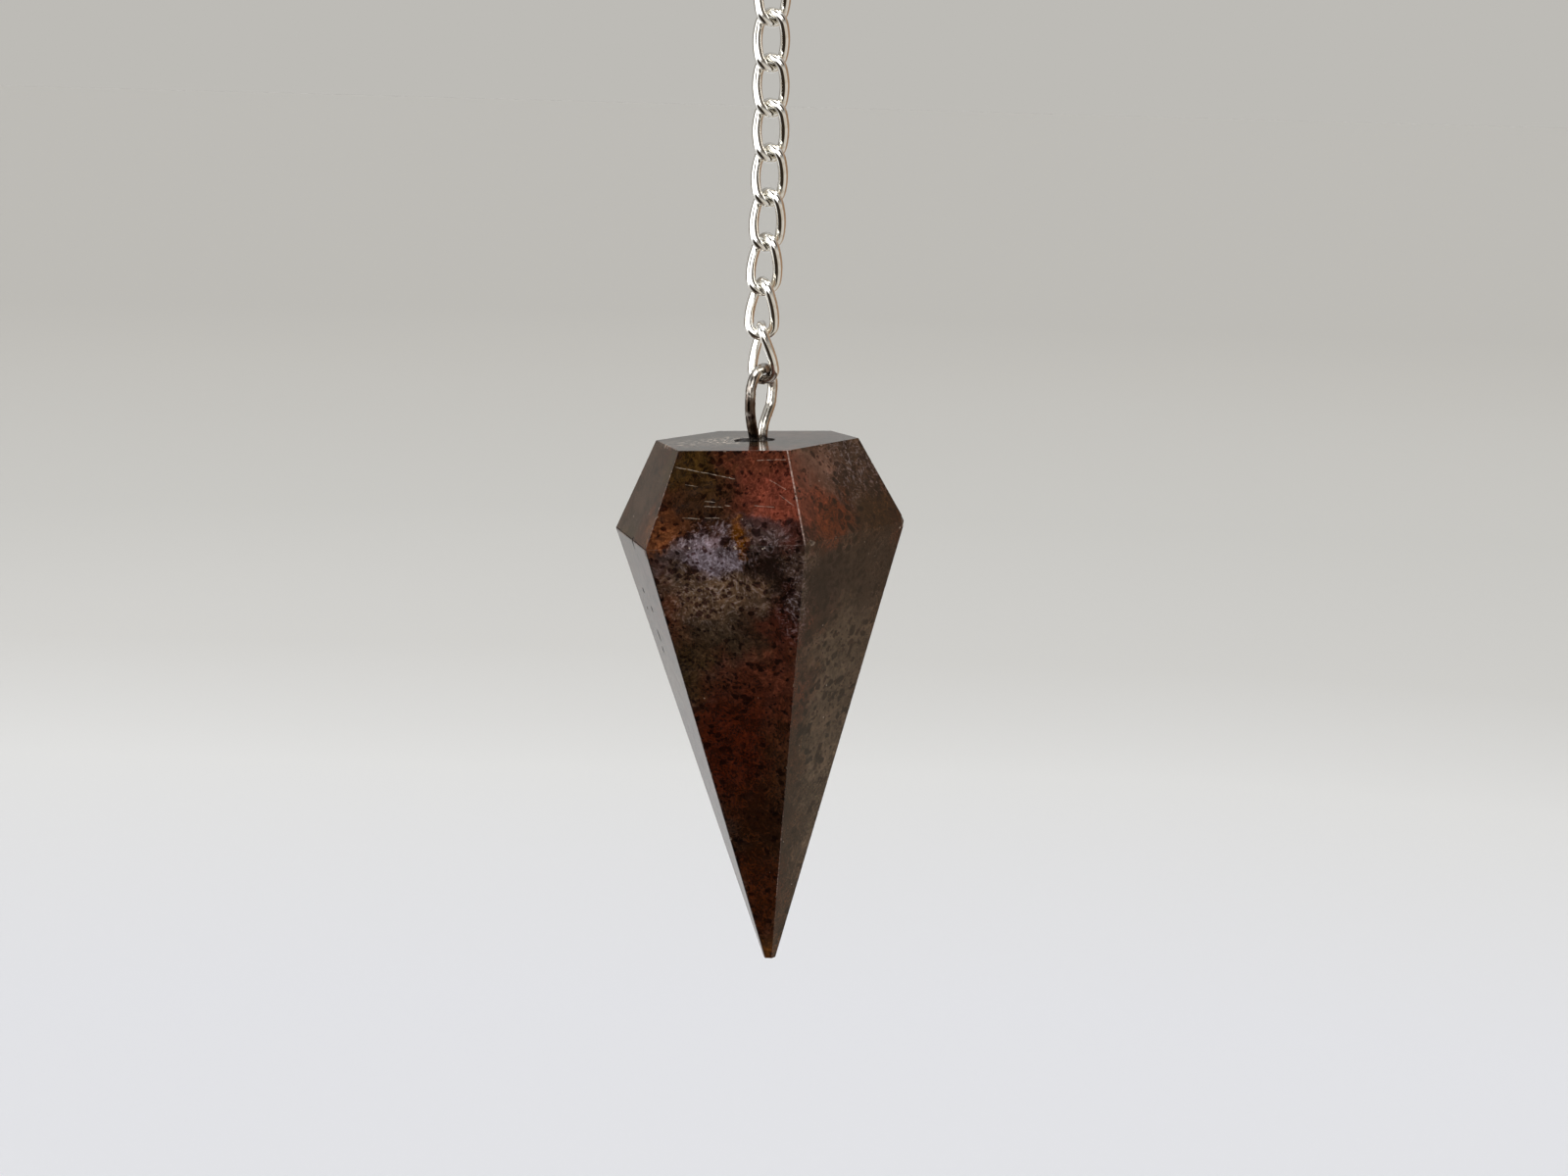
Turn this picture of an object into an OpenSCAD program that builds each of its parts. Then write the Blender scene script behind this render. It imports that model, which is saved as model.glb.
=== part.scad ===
// Pendulum pendant: a faceted stone point on an eye pin, hung from a curb chain. Millimetres.
// +Z is plumb, and the origin is where the pendant hangs: inside the top of the hold ring.
// The chain is built down from the ring, and the stone hangs in the lowest link.

/* [Stone] */
// Length of the stone, from its flat table down to its tip
stone_len = 38; // [26:0.5:60]
// Width of the stone across the corners of its girdle
girdle_d = 22.4; // [19:0.1:32]
// Width of the table across its corners
table_d = 15.5; // [8:0.1:17]
// Height of the crown, from the girdle up to the table
crown_h = 6.3; // [3:0.1:12]
// Width of the blunt tip
tip_d = 0.6; // [0.3:0.1:2]
// Distance of the tip from the stone's axis, to the left
tip_off = 0.2; // [0:0.05:1]
// Lean of the stone off the plumb line, to the left
hang_tilt = 3.4; // [0:0.1:6]

/* [Drilled hole] */
// Depth of the hole in the table
hole_depth = 7; // [4:0.5:16]
// Room in the hole outside the two legs of the eye
hole_room = 0.37; // [0.3:0.01:1]
// Depth at which the resin stands below the table
resin_sink = 0.15; // [0:0.05:1]

/* [Eye pin] */
// Thickness of the eye's wire
eye_wire_d = 0.75; // [0.5:0.05:0.8]
// Height of the eye's centreline above the table
eye_h = 5.1; // [4:0.1:9]
// Width of the eye's centreline where it is widest
eye_w = 3.1; // [2.8:0.05:4]
// Distance between the two legs, from centre to centre
leg_spread = 1.12; // [0.95:0.01:1.6]
// Distance between the legs' ends and the bottom of the hole
leg_rest = 1; // [0.2:0.1:2]
// Resin between the eye and the right side of the hole
leg_cover = 0.1; // [0.1:0.01:0.25]
// Turn of the eye's plane about the plumb line, from the front
eye_turn = 60; // [50:1:75]
// Lean of the eye to the right as it rises
eye_lean = 6; // [0:0.5:10]

/* [Chain] */
// Thickness of a link's wire
link_wire_d = 0.7; // [0.5:0.05:0.8]
// Length of the opening in a link
link_in_len = 3.17; // [2.6:0.01:6]
// Width of the opening in a link
link_in_w = 1.25; // [1.15:0.01:2.2]
// How far a link's sides bow out past its round ends
link_bulge = 0.055; // [0.03:0.005:0.2]
// Twist of a link from one end to the other
link_twist = 80; // [76:1:90]

/* [Hold ring] */
// Thickness of the ring's wire
ring_wire_d = 0.7; // [0.5:0.05:0.8]
// Diameter of the ring over its wire
ring_d = 6; // [5:0.1:12]

/* [Clearances] */
// Gap between two links, and between the ring and the top link
link_gap = 0.04; // [0.03:0.01:0.1]
// Gap between the lowest link and the eye
eye_gap = 0.1; // [0.06:0.01:0.15]
// Gap round the resin and round each leg
fill_gap = 0.04; // [0.02:0.01:0.08]

/* [Hidden] */

stone_colour = "#4b2b21";
metal_colour = "#d5d5d2";
resin_colour = "#1f1814";
round_fn = 64;

// Corners of the girdle: turn about the stone's axis, share of the girdle's radius,
// share of the crown's height
CORNERS = [
    [40, 0.93, 1.00],
    [110, 0.97, 1.00],
    [164, 0.96, 1.01],
    [226, 0.985, 1.045],
    [287, 1.005, 0.98],
    [353, 0.935, 0.95]
];

// Route of the eye's wire above the table: share of half its width, share of its height
EYE_ROUTE = [
    [-0.68, 0.21],
    [-0.88, 0.353],
    [-0.98, 0.50],
    [-1.02, 0.64],
    [-0.99, 0.77],
    [-0.70, 0.915],
    [0.00, 1.00],
    [0.68, 0.915],
    [0.95, 0.77],
    [0.97, 0.62],
    [0.90, 0.47],
    [0.69, 0.36],
    [0.42, 0.21],
    [0.34, 0.09]
];

// Links from the lowest up: lean to the right, turn about the chain
LINKS = [
    [-4, -55],
    [0.5, -33],
    [2.5, -20],
    [1, -10],
    [0.5, -5],
    [-0.5, 0],
    [-1.5, 0],
    [0, 0],
    [0, 0]
];

// Segments of a link's round end, of its side, and round its wire
end_steps = 6;
side_steps = 2;
link_sides = 6;
// Segments between two points of the eye's route, and round its wire
eye_steps = 2;
eye_sides = 10;

corner_count = len(CORNERS);
link_count = len(LINKS);

// The crown's facets meet above the table in one apex, the pavilion's below the tip in another
crown_apex = [0, 0, crown_h * table_d / (girdle_d - table_d)];
tip_share = tip_d / girdle_d;
tip_apex = [-tip_off, 0, -stone_len - (stone_len - crown_h) * tip_share / (1 - tip_share)];

// Hole and legs: the hole takes both legs, which stand to the right of its middle
hole_d = leg_spread + eye_wire_d + 2 * hole_room;
eye_foot_x = hole_room - leg_cover;
eye_leg = hole_depth - leg_rest;

// Link's centreline: half its length and width, its round ends, and the long arc of each side
link_rise = (link_in_len + link_wire_d) / 2;
link_reach = (link_in_w + link_wire_d) / 2;
link_end_r = link_reach - link_bulge;
end_centre = link_rise - link_end_r;
side_r = (pow(end_centre, 2) + pow(link_reach, 2) - pow(link_end_r, 2)) / (2 * link_bulge);
side_centre = side_r - link_reach;
side_angle = atan2(end_centre, side_centre);

// Height by which a link's upper bow stands over the lower bow of the next, centre to centre
link_seat = link_wire_d + link_gap;
ring_seat = (link_wire_d + ring_wire_d) / 2 + link_gap;
eye_seat = (link_wire_d + eye_wire_d) / 2 + eye_gap;

ring_r = (ring_d - ring_wire_d) / 2;
ring_centre = [0, 0, ring_wire_d / 2 - ring_r];
chain_top = ring_centre + [0, 0, ring_seat - ring_r];

// Place at which the lowest link's wire bears in the eye, from the middle of the table
eye_bearing = [eye_foot_x + eye_h * tan(eye_lean), 0, eye_h - eye_seat];

function unit(v) = v / norm(v);

// Place on the line from apex to corner at height z
function on_ridge(apex, corner, z) = apex + (corner - apex) * (z - apex.z) / (corner.z - apex.z);

function girdle_corner(c) = [
    c[1] * girdle_d / 2 * cos(c[0]),
    c[1] * girdle_d / 2 * sin(c[0]),
    -c[2] * crown_h
];

// Points of an arc, without its last one
function arc(centre, r, from, to, steps) = [
    for (i = [0:steps - 1])
        let (a = from + (to - from) * i / steps)
        centre + r * [cos(a), sin(a)]
];

// Centreline of a flat link: two round ends joined by two long arcs
link_oval = concat(
    arc([-side_centre, 0], side_r, -side_angle, side_angle, side_steps),
    arc([0, end_centre], link_end_r, side_angle, 180 - side_angle, end_steps),
    arc([side_centre, 0], side_r, 180 - side_angle, 180 + side_angle, side_steps),
    arc([0, -end_centre], link_end_r, 180 + side_angle, 360 - side_angle, end_steps)
);

// Turn of a link's plane at height z above its middle
function link_plane(z, turn) = turn - link_twist / 2 * z / link_rise;

// Direction of a link that leans
function link_way(k) = [sin(LINKS[k][0]), 0, cos(LINKS[k][0])];

// Middle of the lower bow of link k, counted from the lowest, centre of the wire
function link_foot(k) =
    let (head = k == link_count - 1 ? chain_top : link_foot(k + 1) + [0, 0, link_seat])
    head - 2 * link_rise * link_way(k);

// Rings of points round a wire that follows the route, an open one or a closed loop.
// flat is square to the plane that the route keeps nearest to.
function wire_points(route, flat, r, sides, closed) = [
    for (n = len(route), i = [0:n - 1], j = [0:sides - 1])
        let (
            before = route[closed ? (i + n - 1) % n : max(i - 1, 0)],
            after = route[closed ? (i + 1) % n : min(i + 1, n - 1)],
            way = unit(after - before),
            across = unit(cross(way, flat)),
            a = 360 * j / sides
        )
        route[i] + r * (cos(a) * across + sin(a) * cross(across, way))
];

// Place on a smooth curve between b and c, where a and d are its neighbours
function blend(a, b, c, d, t) =
    b + t / 2 * (c - a) + t * t * (a - 2.5 * b + 2 * c - d / 2)
    + t * t * t / 2 * (d - 3 * c + 3 * b - a);

// Smooth route of the eye's wire in its own plane, from one leg's end to the other's,
// which leaves the hole upright
function eye_flat() =
    let (
        foot = [leg_spread / 2, 0],
        bend = [for (p = EYE_ROUTE) [p[0] * eye_w / 2, p[1] * eye_h]],
        pts = concat([-foot], bend, [foot]),
        last = len(pts) - 1,
        lead = [0, eye_wire_d],
        all = concat([pts[0] - lead], pts, [pts[last] - lead])
    )
    concat(
        [pts[0] - [0, eye_leg]],
        [
            for (i = [1:last], s = [0:eye_steps - 1])
                blend(all[i - 1], all[i], all[i + 1], all[i + 2], s / eye_steps)
        ],
        [pts[last], pts[last] - [0, eye_leg]]
    );

// Place in the stone's frame of a point of the eye's plane
function eye_place(p) = [
    eye_foot_x + max(p.y, 0) * tan(eye_lean) + p.x * cos(eye_turn),
    p.x * sin(eye_turn),
    p.y
];

// Faces between rings that follow one another, two triangles to each side of the wire
function wire_faces(rings, sides, closed) = [
    for (i = [0:rings - (closed ? 1 : 2)], j = [0:sides - 1])
        let (n = (i + 1) % rings, m = (j + 1) % sides)
        each [
            [i * sides + j, n * sides + j, i * sides + m],
            [n * sides + j, n * sides + m, i * sides + m]
        ]
];

// Puts what is drawn in the stone's frame, table at z = 0, where the stone hangs
module hung() {
    translate(link_foot(0)) rotate([0, -hang_tilt, 0]) translate(-eye_bearing) children();
}

module stone() {
    girdle = [for (c = CORNERS) girdle_corner(c)];
    table = [for (g = girdle) on_ridge(crown_apex, g, 0)];
    tip = [for (g = girdle) on_ridge(tip_apex, g, -stone_len)];
    n = corner_count;
    faces = concat(
        [[for (i = [n - 1:-1:0]) i]],
        [for (i = [0:n - 1]) [i, (i + 1) % n, n + (i + 1) % n, n + i]],
        [for (i = [0:n - 1]) [n + i, n + (i + 1) % n, 2 * n + (i + 1) % n, 2 * n + i]],
        [[for (i = [0:n - 1]) 2 * n + i]]
    );
    color(stone_colour) hung() difference() {
        polyhedron(concat(table, girdle, tip), faces);
        translate([0, 0, -hole_depth]) cylinder(h = 2 * hole_depth, d = hole_d, $fn = round_fn);
    }
}

// Dark resin in the hole, with room for the two legs
module resin_plug() {
    color(resin_colour) hung() difference() {
        translate([0, 0, fill_gap - hole_depth])
            cylinder(h = hole_depth - fill_gap - resin_sink, d = hole_d - 2 * fill_gap, $fn = round_fn);
        for (side = [-1, 1])
            translate(eye_place([side * leg_spread / 2, -eye_leg - fill_gap]))
                cylinder(h = eye_leg + fill_gap, d = eye_wire_d + 2 * fill_gap, $fn = round_fn);
    }
}

// One bent wire: leg, loop and leg
module eye_pin() {
    route = [for (p = eye_flat()) eye_place(p)];
    last = len(route) - 1;
    points = wire_points(route, [-sin(eye_turn), cos(eye_turn), 0], eye_wire_d / 2, eye_sides, false);
    faces = concat(
        [[for (j = [0:eye_sides - 1]) j]],
        wire_faces(last + 1, eye_sides, false),
        [[for (j = [eye_sides - 1:-1:0]) last * eye_sides + j]]
    );
    color(metal_colour) hung() polyhedron(points, faces);
}

// Link k of the chain, counted from the lowest: an oval of wire, twisted end to end
module link(k) {
    turn = LINKS[k][1];
    route = [
        for (p = link_oval)
            let (a = link_plane(p.y, turn))
            [p.x * cos(a), p.x * sin(a), p.y]
    ];
    points = wire_points(route, [-sin(turn), cos(turn), 0], link_wire_d / 2, link_sides, true);
    color(metal_colour)
        translate(link_foot(k)) rotate([0, LINKS[k][0], 0]) translate([0, 0, link_rise])
        polyhedron(points, wire_faces(len(route), link_sides, true));
}

// Plain round ring, its plane square to the upper end of the top link
module hold_ring() {
    color(metal_colour)
        translate(ring_centre) rotate([90, 0, link_plane(link_rise, LINKS[link_count - 1][1]) + 90])
        rotate_extrude($fn = round_fn) translate([ring_r, 0]) circle(d = ring_wire_d, $fn = round_fn);
}

stone();
eye_pin();
resin_plug();
link(0);  // link_01
link(1);  // link_02
link(2);  // link_03
link(3);  // link_04
link(4);  // link_05
link(5);  // link_06
link(6);  // link_07
link(7);  // link_08
link(8);  // link_09
hold_ring();
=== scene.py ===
import functools
import math
import random

import bmesh
import bpy
import numpy as np
from mathutils import Matrix, Vector, noise


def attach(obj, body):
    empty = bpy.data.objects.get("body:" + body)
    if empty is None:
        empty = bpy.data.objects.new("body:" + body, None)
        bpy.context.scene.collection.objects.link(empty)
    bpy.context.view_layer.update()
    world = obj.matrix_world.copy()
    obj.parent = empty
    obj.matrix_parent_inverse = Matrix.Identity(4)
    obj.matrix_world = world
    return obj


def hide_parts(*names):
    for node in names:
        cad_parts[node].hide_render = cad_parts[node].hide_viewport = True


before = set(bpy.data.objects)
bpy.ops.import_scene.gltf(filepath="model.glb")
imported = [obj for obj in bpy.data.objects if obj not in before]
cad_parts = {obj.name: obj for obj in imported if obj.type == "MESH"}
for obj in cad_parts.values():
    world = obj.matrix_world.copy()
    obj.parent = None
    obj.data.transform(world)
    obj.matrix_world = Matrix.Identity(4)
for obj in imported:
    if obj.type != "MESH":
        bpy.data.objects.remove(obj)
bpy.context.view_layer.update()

MM = 0.001

# Sizes in mm and angles in degrees, as in the CAD source
STONE_LEN = 38
GIRDLE_D = 22.4
TABLE_D = 15.5
CROWN_H = 6.3
TIP_D = 0.6
TIP_OFF = 0.2
HANG_TILT = 3.4
# corners of the girdle: turn about the stone's axis, shares of the girdle's radius and of the crown's height
CORNERS = [
    (40, 0.93, 1.0),
    (110, 0.97, 1.0),
    (164, 0.96, 1.01),
    (226, 0.985, 1.045),
    (287, 1.005, 0.98),
    (353, 0.935, 0.95),
]
HOLE_DEPTH = 7
HOLE_ROOM = 0.37
RESIN_SINK = 0.15
EYE_WIRE = 0.75
EYE_H = 5.1
EYE_W = 3.1
LEG_SPREAD = 1.12
LEG_REST = 1
LEG_COVER = 0.1
EYE_TURN = 60
EYE_LEAN = 6
# route of the eye's wire above the table: share of half its width, share of its height
EYE_ROUTE = [
    (-0.68, 0.21), (-0.88, 0.353), (-0.98, 0.50), (-1.02, 0.64), (-0.99, 0.77), (-0.70, 0.915), (0, 1),
    (0.68, 0.915), (0.95, 0.77), (0.97, 0.62), (0.90, 0.47), (0.69, 0.36), (0.42, 0.21), (0.34, 0.09),
]
LINK_WIRE = 0.7
LINK_IN_LEN = 3.17
LINK_IN_W = 1.25
LINK_BULGE = 0.055
LINK_TWIST = 80
# lean to the right and turn about its own length of each link, the lowest first
LINKS = [(-4, -55), (0.5, -33), (2.5, -20), (1, -10), (0.5, -5), (-0.5, 0), (-1.5, 0), (0, 0), (0, 0)]
RING_WIRE = 0.7
RING_D = 6
LINK_GAP = 0.04
EYE_GAP = 0.1
FILL_GAP = 0.04

# Sizes that follow from those
SIDES = len(CORNERS)
HOLE_D = LEG_SPREAD + EYE_WIRE + 2 * HOLE_ROOM
EYE_FOOT_X = HOLE_ROOM - LEG_COVER
EYE_LEG = HOLE_DEPTH - LEG_REST
EYE_SLOPE = math.tan(math.radians(EYE_LEAN))
LINK_RISE = (LINK_IN_LEN + LINK_WIRE) / 2
LINK_REACH = (LINK_IN_W + LINK_WIRE) / 2
RING_R = (RING_D - RING_WIRE) / 2

# Sizes that only the visual pieces have
# what the girdle's corners and the tip's width stand out by, so that the rounded stone keeps the silhouette:
# shares of the girdle's radius, and mm
CORNER_OUT = (0.008, 0.008, -0.003, 0.014, 0.006, 0.012)
TIP_OUT = 0.34
# widest rounding of an edge, and each edge's share of it by row and number
EDGE_ROUND = 0.09
EDGE_SHARE = {
    "table": (0.5, 0.5, 0.5, 0.3, 0.3, 0.5),
    "girdle": (0.6, 0.6, 1.0, 0.08, 0.12, 0.6),
    "crown": (0.6, 0.6, 0.7, 0.4, 0.75, 0.7),
    "pavilion": (0.5, 0.6, 0.5, 1.0, 0.35, 0.8),
}
# edges whose rounding gets painted shade, a dark colour that mirrors little, with the facet whose side of it
# stays pale
PAINTED_SHADE_EDGES = {
    ("girdle", 2): ("pavilion", 2),
    ("pavilion", 3): ("pavilion", 2),
    ("crown", 2): None,
    ("crown", 5): None,
    ("pavilion", 5): None,
}
# chips on the edges: place, size along x, y and z, in mm in the stone's frame
CHIPS = [
    ((4.0, -10.25, -6.1), (0.50, 0.34, 0.28)),
    ((-8.95, -3.3, -6.75), (0.30, 0.22, 0.85)),
    ((-7.75, -7.65, -7.0), (0.20, 0.16, 0.42)),
    ((10.35, -1.35, -6.0), (0.26, 0.34, 0.50)),
    ((1.35, -3.72, -26.2), (0.22, 0.20, 0.36)),
    ((-6.9, -7.3, -8.1), (0.14, 0.18, 0.30)),
]
# nicks: seed of their random draws, least distance from a chip, least and greatest size and unevenness
NICK_SEED = 11
NICK_ROOM = 0.9
NICK_SIZE = (0.05, 0.12)
NICK_UNEVEN = (0.7, 1.5)
# their number on each edge of the pavilion, girdle, crown and table
NICK_COUNTS = (5, 2, 1, 1)
# the part of each step along an edge that they keep to, the part of the edge that has steps, and its start
NICK_STEP = (0.25, 0.75)
NICK_SPAN = 0.86
NICK_START = 0.06
# the bore's rings from the top down: height, flare of the mouth, raggedness
HOLE_RINGS = [
    (0.4, 0.30, 1.0),
    (0.0, 0.22, 1.0),
    (-0.12, 0.12, 0.7),
    (-0.34, 0.0, 0.15),
    (-0.6, 0, 0),
    (-HOLE_DEPTH, 0, 0),
]
# room between the resin's mesh and the bore's wall, and round each leg
WALL_ROOM = 0.02
LEG_ROOM = 0.006
# how high the resin climbs the wall and the legs, how far from them that starts, and how deep it dips
WALL_CLIMB, WALL_REACH = 0.10, 0.12
LEG_CLIMB, LEG_REACH = 0.14, 0.14
RESIN_DIP = 0.07
# dents in the eye's wire: depth, waves to the millimetre, least noise that dents
EYE_DENTS = [(0.022, 1.7, 0.08), (0.012, 4.5, 0.0)]

# Steps of the meshes
HOLE_SIDES = 72
RESIN_SIDES = 96
RESIN_RINGS = 22
LEG_CUT_SIDES = 32
EYE_SIDES = 24
EYE_STEPS = 12
LINK_SIDES = 20
LINK_SIDE_STEPS = 22
LINK_END_STEPS = 26
RING_SIDES = 24
RING_STEPS = 120
FLOOR_SIDES = 128

# Material slots of the stone
# the last slot holds the painted shade of some edges' roundings
POLISHED, WORN, BROKEN, EDGE_PAINTED_SHADE = range(4)


def sin(degrees):
    return math.sin(math.radians(degrees))


def cos(degrees):
    return math.cos(math.radians(degrees))


def direction(azimuth, elevation):
    """The way to an azimuth, from the front towards the right, and an elevation."""
    return Vector((sin(azimuth) * cos(elevation), -cos(azimuth) * cos(elevation), sin(elevation)))


def about_y(degrees):
    return Matrix.Rotation(math.radians(degrees), 4, "Y")


def moved(place):
    """The shift to a place in mm."""
    return Matrix.Translation(Vector(place) * MM)


# Camera: the photograph's viewpoint, in degrees and mm, a little above the girdle
CAMERA_AZIMUTH = -0.520
CAMERA_ELEVATION = 8.689
CAMERA_ROLL = 1.565
CAMERA_PLACE = (-0.149, -229.713, -12.941)
CAMERA_LENS = 74.25
CAMERA_SENSOR = 36


def make_camera():
    data = bpy.data.cameras.new("camera")
    data.lens = CAMERA_LENS
    data.sensor_width = CAMERA_SENSOR
    data.clip_start = 0.005
    data.clip_end = 300
    camera = bpy.data.objects.new("camera", data)
    back = direction(CAMERA_AZIMUTH, CAMERA_ELEVATION)
    level = Vector((cos(CAMERA_AZIMUTH), sin(CAMERA_AZIMUTH), 0))
    right = level * cos(CAMERA_ROLL) + back.cross(level) * sin(CAMERA_ROLL)
    turn = Matrix((right, back.cross(right), back)).transposed().to_4x4()
    camera.matrix_world = moved(CAMERA_PLACE) @ turn
    bpy.context.scene.collection.objects.link(camera)
    bpy.context.scene.camera = camera


# Meshes
def new_object(name, verts, faces, material=None, smooth=True):
    mesh = bpy.data.meshes.new(name)
    mesh.from_pydata([tuple(v) for v in verts], [], faces)
    mesh.validate()
    mesh.polygons.foreach_set("use_smooth", [smooth] * len(mesh.polygons))
    if material:
        mesh.materials.append(material)
    obj = bpy.data.objects.new(name, mesh)
    bpy.context.scene.collection.objects.link(obj)
    return obj


def largest_shell(bm):
    """Takes out all but the largest connected part of the mesh."""
    left = set(bm.verts)
    shells = []
    while left:
        shell = set()
        fresh = {left.pop()}
        while fresh:
            shell |= fresh
            fresh = {e.other_vert(v) for v in fresh for e in v.link_edges} - shell
        left -= shell
        shells.append(shell)
    shells.sort(key=len)
    bmesh.ops.delete(bm, geom=[v for shell in shells[:-1] for v in shell], context="VERTS")


def clean(bm, merge=1e-6):
    """Triangulates the mesh and takes out double points, faces without area, flaps and loose parts."""
    for _ in range(2):
        bmesh.ops.dissolve_degenerate(bm, dist=merge, edges=bm.edges)
        bmesh.ops.remove_doubles(bm, verts=bm.verts, dist=merge)
        bmesh.ops.triangulate(bm, faces=bm.faces)
    same = {}
    for f in bm.faces:
        same.setdefault(frozenset(f.verts), []).append(f)
    flaps = [f for group in same.values() if len(group) > 1 for f in group]
    bmesh.ops.delete(bm, geom=flaps, context="FACES")
    largest_shell(bm)


def apply_boolean(obj, cutter):
    """Applies the object's modifiers, cuts it with the cutter and removes that."""
    cut = obj.modifiers.new("cut", "BOOLEAN")
    cut.operation = "DIFFERENCE"
    cut.solver = "EXACT"
    cut.object = cutter
    mesh = bpy.data.meshes.new_from_object(obj.evaluated_get(bpy.context.evaluated_depsgraph_get()))
    obj.modifiers.clear()
    bm = bmesh.new()
    bm.from_mesh(mesh)
    clean(bm)
    bm.to_mesh(mesh)
    bm.free()
    old = obj.data
    obj.data = mesh
    bpy.data.meshes.remove(old)
    bpy.data.objects.remove(cutter)


def circle(radius, sides, z, middle=(0, 0)):
    """Points round a level circle."""
    turns = [360 * j / sides for j in range(sides)]
    return [(middle[0] + radius * cos(a), middle[1] + radius * sin(a), z) for a in turns]


def band(first, second, sides):
    """Quads between two rings of points, given by the numbers of their first points."""
    return [(first + j, second + j, second + (j + 1) % sides, first + (j + 1) % sides) for j in range(sides)]


def tube(route, flat, radius, sides, closed):
    """Points and faces of a wire along a route. Its radius may vary from point to point."""
    n = len(route)
    ahead = np.roll(route, -1, 0) if closed else np.vstack([route[1:], route[-1:]])
    behind = np.roll(route, 1, 0) if closed else np.vstack([route[:1], route[:-1]])
    way = ahead - behind
    way /= np.linalg.norm(way, axis=1)[:, None]
    across = np.cross(way, flat)
    across /= np.linalg.norm(across, axis=1)[:, None]
    over = np.cross(across, way)
    angle = 2 * np.pi * np.arange(sides) / sides
    points = (route[:, None] + (radius * np.cos(angle))[..., None] * across[:, None]
              + (radius * np.sin(angle))[..., None] * over[:, None]).reshape(-1, 3)
    faces = []
    for i in range(n if closed else n - 1):
        faces += band(i * sides, (i + 1) % n * sides, sides)
    if not closed:
        faces += [tuple(range(sides)), tuple(n * sides - 1 - j for j in range(sides))]
    return points, faces


def smooth_route(points, steps):
    """Catmull-Rom curve through the points, the first and last of which only steer it."""
    p = np.array(points, float)
    out = []
    for i in range(1, len(p) - 2):
        a, b, c, d = p[i - 1:i + 3]
        for s in range(steps):
            t = s / steps
            out.append(b + t / 2 * (c - a) + t * t * (a - 2.5 * b + 2 * c - d / 2)
                       + t ** 3 / 2 * (d - 3 * c + 3 * b - a))
    out.append(p[-2])
    return np.array(out)


def arc(centre, r, start, end, steps):
    a = np.radians(start + (end - start) * np.arange(steps) / steps)
    return np.stack([centre[0] + r * np.cos(a), centre[1] + r * np.sin(a)], 1)


# Chain
def link_foot(k):
    """The lowest point of a link's centreline, found from the ring down."""
    if k == len(LINKS) - 1:
        head = np.array([0, 0, RING_WIRE / 2 - RING_R - RING_R + (LINK_WIRE + RING_WIRE) / 2 + LINK_GAP])
    else:
        head = link_foot(k + 1) + np.array([0, 0, LINK_WIRE + LINK_GAP])
    lean = LINKS[k][0]
    return head - 2 * LINK_RISE * np.array([sin(lean), 0, cos(lean)])


def link_route(k):
    """A link's centreline: an oval of two round ends and two bowed sides, twisted from end to end."""
    end_r = LINK_REACH - LINK_BULGE
    end_centre = LINK_RISE - end_r
    side_r = (end_centre ** 2 + LINK_REACH ** 2 - end_r ** 2) / (2 * LINK_BULGE)
    side_centre = side_r - LINK_REACH
    a = math.degrees(math.atan2(end_centre, side_centre))
    oval = np.vstack([
        arc((-side_centre, 0), side_r, -a, a, LINK_SIDE_STEPS),
        arc((0, end_centre), end_r, a, 180 - a, LINK_END_STEPS),
        arc((side_centre, 0), side_r, 180 - a, 180 + a, LINK_SIDE_STEPS),
        arc((0, -end_centre), end_r, 180 + a, 360 - a, LINK_END_STEPS),
    ])
    turn = np.radians(LINKS[k][1] - LINK_TWIST / 2 * oval[:, 1] / LINK_RISE)
    return np.stack([oval[:, 0] * np.cos(turn), oval[:, 0] * np.sin(turn), oval[:, 1]], 1)


def make_link(k, material):
    lean, turn = LINKS[k]
    flat = np.array([-sin(turn), cos(turn), 0])
    points, faces = tube(link_route(k), flat, LINK_WIRE / 2, LINK_SIDES, True)
    obj = new_object(f"link_{k + 1:02d}_wire", points * MM, faces, material)
    obj.matrix_world = moved(link_foot(k)) @ about_y(lean) @ Matrix.Translation((0, 0, LINK_RISE * MM))
    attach(obj, "chain")
    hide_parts(f"link_{k + 1:02d}")


def make_ring(material):
    """The plain ring, square to the top of the highest link."""
    a = 2 * np.pi * np.arange(RING_STEPS) / RING_STEPS
    turn = LINKS[-1][1] - LINK_TWIST / 2 + 90
    route = RING_R * np.stack([np.cos(a) * cos(turn), np.cos(a) * sin(turn), np.sin(a)], 1)
    route[:, 2] += RING_WIRE / 2 - RING_R
    points, faces = tube(route, np.array([-sin(turn), cos(turn), 0]), RING_WIRE / 2, RING_SIDES, True)
    obj = new_object("hold_ring_wire", points * MM, faces, material)
    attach(obj, "chain")
    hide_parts("hold_ring")


# From the stone's own frame, whose origin is the middle of the table, to the scene
EYE_BEARING = (EYE_FOOT_X + EYE_H * EYE_SLOPE, 0, EYE_H - (LINK_WIRE + EYE_WIRE) / 2 - EYE_GAP)
HUNG = moved(link_foot(0)) @ about_y(-HANG_TILT) @ moved(-Vector(EYE_BEARING))


# Eye pin
def eye_route():
    """The wire's centreline: up one leg, round the loop and down the other leg."""
    foot = np.array([LEG_SPREAD / 2, 0])
    bend = [(x * EYE_W / 2, z * EYE_H) for x, z in EYE_ROUTE]
    lead = np.array([0, EYE_WIRE])
    flat = smooth_route([-foot - lead, -foot, *bend, foot, foot - lead], EYE_STEPS)
    leg = np.linspace(-EYE_LEG, 0, EYE_STEPS + 1)[:-1]
    flat = np.vstack([[(-foot[0], z) for z in leg], flat, [(foot[0], z) for z in leg[::-1]]])
    across = flat[:, 0]
    lean = EYE_FOOT_X + np.maximum(flat[:, 1], 0) * EYE_SLOPE
    return np.stack([lean + across * cos(EYE_TURN), across * sin(EYE_TURN), flat[:, 1]], 1)


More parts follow.
